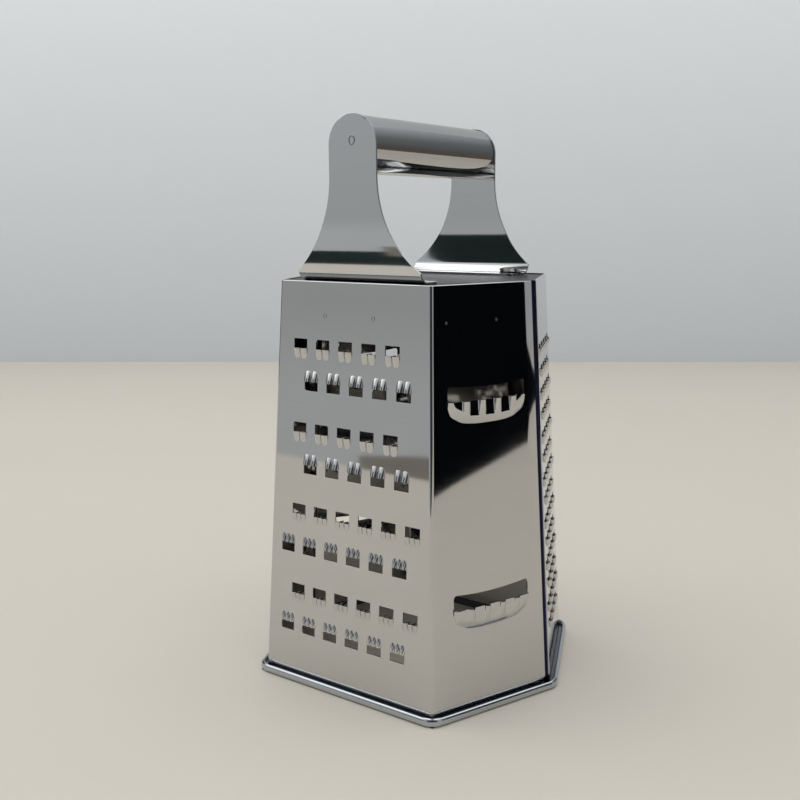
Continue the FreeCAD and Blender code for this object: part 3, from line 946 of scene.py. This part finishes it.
def matt(name, colour, other, scale, roughness=0.6):
    material = bpy.data.materials.new(name)
    material.use_nodes = True
    tree = material.node_tree
    shader = tree.nodes["Principled BSDF"]
    shader.inputs["Roughness"].default_value = roughness
    place = tree.nodes.new("ShaderNodeTexCoord").outputs["Object"]
    cloud = noiseOf(tree, place, scale, detail=3)
    mix = tree.nodes.new("ShaderNodeMix")
    mix.data_type = "RGBA"
    mix.inputs["A"].default_value = (*colour, 1)
    mix.inputs["B"].default_value = (*other, 1)
    tree.links.new(cloud, mix.inputs["Factor"])
    tree.links.new(mix.outputs["Result"], shader.inputs["Base Color"])
    return material


def rising(material, low, high):  # the first colour at the foot, the second at the top
    tree = material.node_tree
    height = partsOf(tree, tree.nodes["Texture Coordinate"].outputs["Object"])["Z"]
    share = sums(tree, "DIVIDE", sums(tree, "SUBTRACT", height, low), high - low)
    tree.links.new(held(tree, share), tree.nodes["Mix"].inputs["Factor"])


def panel(name, corners, material):
    bpy.ops.mesh.primitive_plane_add(size=1)
    piece = started(name)
    for v, corner in zip(piece.data.vertices, corners):
        v.co = corner
    piece.data.materials.append(material)
    return piece


def uprightPanel(name, start, end, low, high, material):  # over a line on the table, between two edges
    return panel(name, ((*start, low[0]), (*end, low[1]), (*start, high[0]), (*end, high[1])), material)


studio = {"tableFront": -0.485, "tableReach": 3,
          "tableTones": ((0.59, 0.545, 0.47), (0.63, 0.585, 0.505)),
          "wallPoint": (-0.511, 0.707), "wallAlong": (0.842, 0.540), "wallLeft": 2, "wallRight": 3,
          "wallFoot": -0.2, "wallTop": 2.2, "wallFade": (-0.0095, 0.467),
          "wallTones": ((0.635, 0.66, 0.69), (0.94, 0.96, 0.98))}

# Cards that only reflections show: the two ends in plan, the lower and the upper edge at each end,
# and the tone, or the tones at the foot and at the top
cards = {
    "rightFlag": ((0.40, -0.01), (0.95, 0.336), (0, 0), (0.6, 0.6), (0.002, 0.003, 0.004)),
    "rightFar": ((0.95, 0.336), (1.06, 0.55), (0, 0), (0.1, 0.04), (0.002, 0.003, 0.004)),
    "frontFlag": ((-2.32, -3.3), (-1.2, -3.7), (0.58, 0.58), (1.6, 1.6), (0.02, 0.03, 0.028)),
    "lowFlag": ((-4.34, -4.19), (-3.28, -5.08), (-3, -3), (-0.95, -1.16), (0.03, 0.045, 0.042)),
    "roomFlag": ((-1.8, -2.44), (-1.57, -2.585), (-0.56, -0.56), (-0.37, -0.36), (0.28, 0.25, 0.215)),
    "nearFlag": ((0.17, -1.33), (1.18, -0.65), (-0.3, -0.3), (1.5, 1.5), (0.05, 0.055, 0.06)),
    "leftFlag": ((-1.2, 0.5), (-1.2, -0.4), (-0.1, -0.1), (1.1, 1.1), (0.08, 0.085, 0.09)),
    "backTop": ((-0.5, 0.63), (0.15, 1.05), (0.3, 0.3), (1.3, 1.3),
                (0.64, 0.66, 0.68), (0.76, 0.78, 0.8)),
    "backHaze": ((0.15, 1.05), (0.85, 0.5), (0.5, 0.5), (1.0, 1.0),
                 (0.235, 0.25, 0.26), (0.6, 0.62, 0.64)),
    "backFlag": ((0.15, 1.05), (0.85, 0.5), (0.19, 0.19), (0.5, 0.5),
                 (0.155, 0.16, 0.165), (0.235, 0.25, 0.26)),
    "backFoot": ((0.15, 1.05), (0.85, 0.5), (0.04, 0.04), (0.19, 0.19), (0.15, 0.12, 0.1)),
}


def flag(name, start, end, low, high, tone, upper=None):
    material = matt(name + "Finish", tone, upper or [c * 1.4 for c in tone], scale=6, roughness=0.9)
    if upper:
        rising(material, low[0], high[0])
    material.node_tree.nodes["Principled BSDF"].inputs["Specular IOR Level"].default_value = 0
    card = uprightPanel(name, start, end, low, high, material)
    card.visible_camera = False
    card.visible_diffuse = False
    card.visible_shadow = False
    card.visible_transmission = False


def studioSet():
    front, reach = studio["tableFront"], studio["tableReach"]
    panel("table", ((-reach, front, 0), (reach, front, 0), (-reach, reach, 0), (reach, reach, 0)),
          matt("tableFinish", *studio["tableTones"], scale=3))
    point, along = Vector(studio["wallPoint"]), Vector(studio["wallAlong"])
    low, top = studio["wallFoot"], studio["wallTop"]
    finish = matt("wallFinish", *studio["wallTones"], scale=2, roughness=0.9)
    rising(finish, *studio["wallFade"])  # painted light: paler towards its top and darker towards its foot, as the light falls off
    uprightPanel("wall", point - along * studio["wallLeft"], point + along * studio["wallRight"],
                 (low, low), (top, top), finish)
    for name, card in cards.items():
        flag(name, *card)


# Lamps: the place, what they point at, the size, the power and the colour; the last two light the
# table within the body and send its light back up
lamps = {"overhead": ((0.1, 0.2, 2.0), (0, 0, 0), (3.2, 3.2), 28, (1, 1, 1)),
         "key": ((-1.3, -0.4, 1.7), (0, 0, 0.1), (2.2, 2.2), 11, (1, 1, 1)),
         "front": ((-1.37, -1.76, 1.47), (0, 0, 0.13), (1.6, 1.1), 1.5, (1, 1, 1)),
         "pool": ((0.012, -0.012, 0.045), (0.012, -0.01201, 0), (0.03, 0.03), 0.005, (1, 0.98, 0.94)),
         "inside": ((0, 0, 0.001), (0, 0.00001, 0.2), (0.07, 0.085), 0.0008, (1, 0.93, 0.83))}

# Tones of the room from below the horizon, which is at a half, up to the ceiling
roomTones = ((0.456, (0.46, 0.48, 0.485)), (0.5, (0.39, 0.405, 0.41)), (0.55, (0.42, 0.44, 0.45)),
             (0.7, (0.50, 0.52, 0.54)), (1.0, (0.66, 0.69, 0.72)))


def softLight(name, place, aim, size, power, colour):
    lamp = bpy.data.lights.new(name, "AREA")
    lamp.shape = "RECTANGLE"
    lamp.size, lamp.size_y = size
    lamp.energy = power
    lamp.color = colour
    piece = bpy.data.objects.new(name, lamp)
    bpy.context.collection.objects.link(piece)
    piece.location = place
    piece.rotation_euler = (Vector(aim) - Vector(place)).to_track_quat("-Z", "Y").to_euler()


def studioLight():  # an even grey room, lighter overhead, and soft lamps
    world = bpy.data.worlds.new("room")
    bpy.context.scene.world = world
    world.use_nodes = True
    tree = world.node_tree
    height = partsOf(tree, tree.nodes.new("ShaderNodeTexCoord").outputs["Generated"])["Z"]
    ramp = tree.nodes.new("ShaderNodeValToRGB")
    for place in (0.3, 0.5, 0.7):
        ramp.color_ramp.elements.new(place)
    for element, (place, colour) in zip(ramp.color_ramp.elements, roomTones):
        element.position = place
        element.color = (*colour, 1)
    tree.links.new(sums(tree, "MULTIPLY_ADD", height, 0.5, 0.5), ramp.inputs[0])
    tree.links.new(ramp.outputs[0], tree.nodes["Background"].inputs["Color"])
    for name, lamp in lamps.items():
        softLight(name, *lamp)


# The photograph's view: where it was taken from, and how far it was turned, tipped down and rolled
view = {"place": (0.2277, -0.3349, 0.1872), "turns": (-35.34, 10.57, -0.39), "lens": 43.92, "sensor": 36}


def photoCamera():
    yaw, pitch, roll = (math.radians(a) for a in view["turns"])
    forward = Vector((math.sin(yaw) * math.cos(pitch), math.cos(yaw) * math.cos(pitch), -math.sin(pitch)))
    right = Vector((math.cos(yaw), -math.sin(yaw), 0))
    up = right.cross(forward)
    across = right * math.cos(roll) + up * math.sin(roll)
    upright = up * math.cos(roll) - right * math.sin(roll)
    turned = Matrix((across, upright, -forward)).transposed().to_4x4()
    turned.translation = view["place"]
    lens = bpy.data.cameras.new("photoCamera")
    lens.sensor_width = view["sensor"]
    lens.lens = view["lens"]
    lens.clip_start, lens.clip_end = 0.01, 50
    camera = bpy.data.objects.new("photoCamera", lens)
    bpy.context.collection.objects.link(camera)
    camera.matrix_world = turned
    bpy.context.scene.camera = camera


studioSet()
studioLight()
photoCamera()
bpy.context.scene.view_settings.view_transform = "Standard"
print("studio made")
